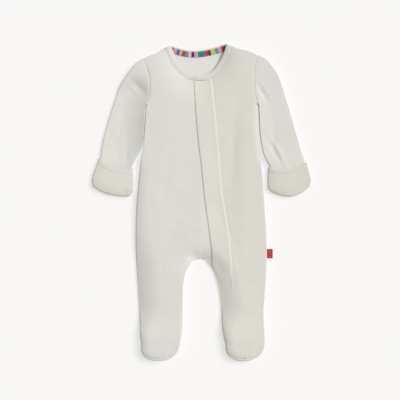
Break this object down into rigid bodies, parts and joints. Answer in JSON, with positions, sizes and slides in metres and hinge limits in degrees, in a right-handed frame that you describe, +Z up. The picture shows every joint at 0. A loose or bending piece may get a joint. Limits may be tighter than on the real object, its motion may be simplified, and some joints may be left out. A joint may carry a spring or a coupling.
{
  "type": "footed baby sleepsuit",
  "caption": "Footed long-sleeved baby sleepsuit laid flat, with a slanting hidden-fastening placket, fold-over mittens and a bound neck.",
  "frame": {"origin": "on the floor under the middle of the laid suit", "axes": "+Z up from the floor, +Y towards the neck, +X towards the wearer's left"},
  "size_m": [0.3948, 0.5716, 0.021],
  "materials": {
    "body_knit": "soft thick ivory cotton knit, smooth and matt",
    "placket_knit": "the same ivory knit, doubled",
    "mitten_knit": "the same ivory knit, slightly greyer",
    "binding_knit": "ivory knit binding",
    "striped_tape": "woven tape with many bright cross stripes",
    "red_tab": "woven red tape, bare"
  },
  "bodies": {
    "root": {"back": "body_knit", "front_right": "body_knit", "front_left": "body_knit", "placket": "placket_knit", "sleeve_right": "body_knit", "sleeve_left": "body_knit", "mitt_right": "mitten_knit", "mitt_left": "mitten_knit", "neck_band_front_right": "binding_knit", "neck_band_front_left": "binding_knit", "neck_band_back": "binding_knit", "neck_tape": "striped_tape", "sole_right": "body_knit", "sole_left": "body_knit", "side_tab": "red_tab"}
  },
  "joints": []
}
